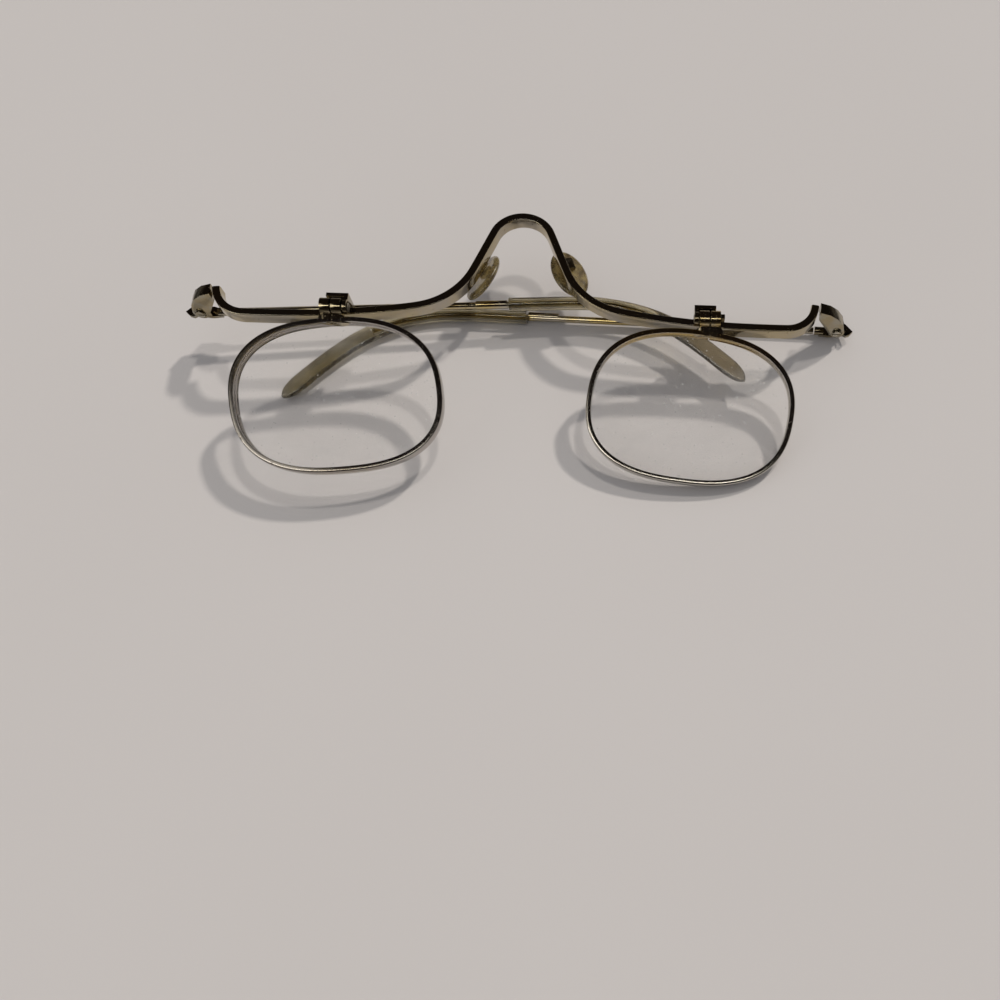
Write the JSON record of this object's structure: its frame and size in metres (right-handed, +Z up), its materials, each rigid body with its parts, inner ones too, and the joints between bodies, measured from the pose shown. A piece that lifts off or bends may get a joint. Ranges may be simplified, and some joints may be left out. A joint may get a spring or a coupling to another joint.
{
  "type": "flip-up glasses",
  "caption": "Worn wire-rimmed glasses whose lenses flip up on small hinges below a gold brow bar, lying folded.",
  "frame": {"origin": "middle of the base of the bounding box, on the table the glasses lie on", "axes": "+X to the wearer's right-hand side of the picture, +Y up the face towards the bridge arch, +Z up from the table, out of the lenses' front"},
  "size_m": [0.1386, 0.0572, 0.018],
  "materials": {
    "worn_gold": "worn gold plating, satin",
    "worn_silver": "bare metal where the plating has gone",
    "screw_steel": "small slotted screws",
    "aged_pad": "yellowed soft clear plastic",
    "clear_sleeve": "clear, faintly yellow",
    "lens_glass": "clear, dusty"
  },
  "bodies": {
    "front": {"brow_bar": "worn_gold", "end_piece_left": "worn_gold", "temple_screw_left": "screw_steel", "flip_bracket_left": "worn_gold", "flip_screw_left": "screw_steel", "nose_pad_left": "aged_pad", "pad_mount_left": "worn_silver", "end_piece_right": "worn_gold", "temple_screw_right": "screw_steel", "flip_bracket_right": "worn_gold", "flip_screw_right": "screw_steel", "nose_pad_right": "aged_pad", "pad_mount_right": "worn_silver"},
    "temple_left": {"temple_knuckle_left": "worn_gold", "temple_rod_left": "worn_gold", "temple_sleeve_left": "clear_sleeve"},
    "flip_left": {"rim_left": "worn_silver", "rim_barrel_inner_left": "worn_gold", "rim_barrel_outer_left": "worn_gold", "lens_left": "lens_glass"},
    "temple_right": {"temple_knuckle_right": "worn_gold", "temple_rod_right": "worn_gold", "temple_sleeve_right": "clear_sleeve"},
    "flip_right": {"rim_right": "worn_gold", "rim_barrel_inner_right": "worn_gold", "rim_barrel_outer_right": "worn_gold", "lens_right": "lens_glass"}
  },
  "joints": [
    {"name": "temple_left_fold", "type": "hinge", "parent": "front", "child": "temple_left", "pos_m": [-0.06584, 0.00783, 0.00933], "axis": [0, 1, 0], "range_deg": [0, 91]},
    {"name": "temple_right_fold", "type": "hinge", "parent": "front", "child": "temple_right", "pos_m": [0.06586, 0.00783, 0.00312], "axis": [0, -1, 0], "range_deg": [0, 87]},
    {"name": "lens_left_flip", "type": "hinge", "parent": "front", "child": "flip_left", "pos_m": [-0.03546, 0.00305, 0.01621], "axis": [-0.9989, 0, 0.0471], "range_deg": [0, 100]},
    {"name": "lens_right_flip", "type": "hinge", "parent": "front", "child": "flip_right", "pos_m": [0.03886, 0.00285, 0.0127], "axis": [-0.9989, 0, 0.0471], "range_deg": [0, 100]}
  ]
}
